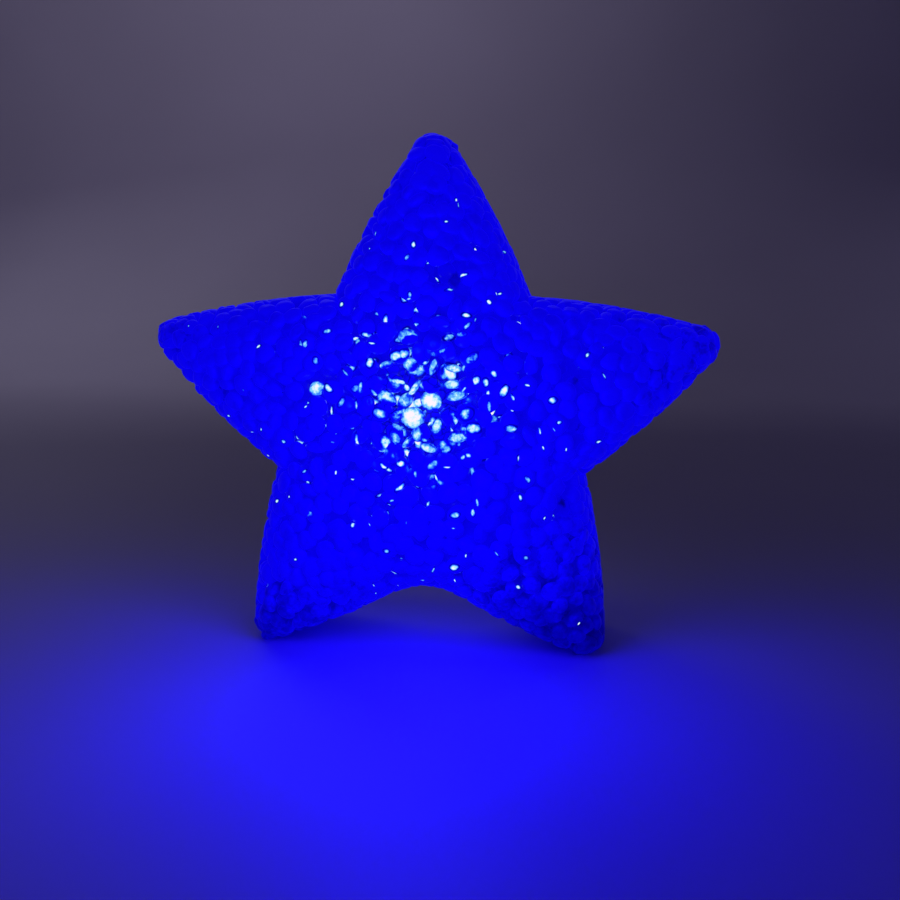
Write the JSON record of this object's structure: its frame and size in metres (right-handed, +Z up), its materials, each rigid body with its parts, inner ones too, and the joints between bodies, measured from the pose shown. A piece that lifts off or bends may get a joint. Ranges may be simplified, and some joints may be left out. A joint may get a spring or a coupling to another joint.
{
  "type": "star night light",
  "caption": "Hollow five-pointed star of fused clear pellets that stands on two points, with a push-in battery lamp unit in its back.",
  "frame": {"origin": "on the surface the star stands on, midway between its feet and midway through its depth", "axes": "+X to the star's right seen from the front, +Y towards its back, +Z up; the front faces -Y"},
  "size_m": [0.1204, 0.045, 0.1086],
  "materials": {
    "clear_pellets": "fused clear plastic pellets, lit blue from inside",
    "white_plastic": "fine moulded grain",
    "black_foam": "closed-cell foam",
    "green_board": "solder-masked board",
    "clear_epoxy": "clear cast epoxy",
    "tinned_metal": "tinned",
    "plated_steel": "nickel plate",
    "spring_steel": "bright wire",
    "screw_steel": "dark zinc",
    "cell_steel": "polished nickel",
    "chip_black": "glazed",
    "black_plastic": "moulded",
    "red_wire": "wire insulation"
  },
  "bodies": {
    "star": {"front_pellet_shell": "clear_pellets", "rear_pellet_shell": "clear_pellets", "mounting_collar": "white_plastic"},
    "lamp_unit": {"lamp_housing": "white_plastic", "foam_ring": "black_foam", "inner_cover": "white_plastic", "circuit_board": "green_board", "led": "clear_epoxy", "led_lead_anode": "tinned_metal", "led_lead_cathode": "tinned_metal", "resistor": "chip_black", "switch_frame": "plated_steel", "switch_wire_1": "red_wire", "switch_wire_2": "red_wire", "positive_contact": "tinned_metal", "negative_contact": "tinned_metal", "negative_spring": "spring_steel", "button_cell_1": "cell_steel", "button_cell_2": "cell_steel", "button_cell_3": "cell_steel", "cover_screw_1": "screw_steel", "cover_screw_2": "screw_steel", "cover_screw_3": "screw_steel"},
    "battery_door": {"battery_door": "white_plastic", "door_screw": "screw_steel"},
    "switch_knob": {"switch_knob": "black_plastic"}
  },
  "joints": [
    {"name": "lamp_unit_pull", "type": "slide", "parent": "star", "child": "lamp_unit", "axis": [0, 1, 0], "range_m": [0, 0.035]},
    {"name": "battery_door_lift", "type": "slide", "parent": "lamp_unit", "child": "battery_door", "axis": [0, 1, 0], "range_m": [0, 0.012]},
    {"name": "switch_slide", "type": "slide", "parent": "lamp_unit", "child": "switch_knob", "axis": [-1, 0, 0], "range_m": [0, 0.002]}
  ]
}
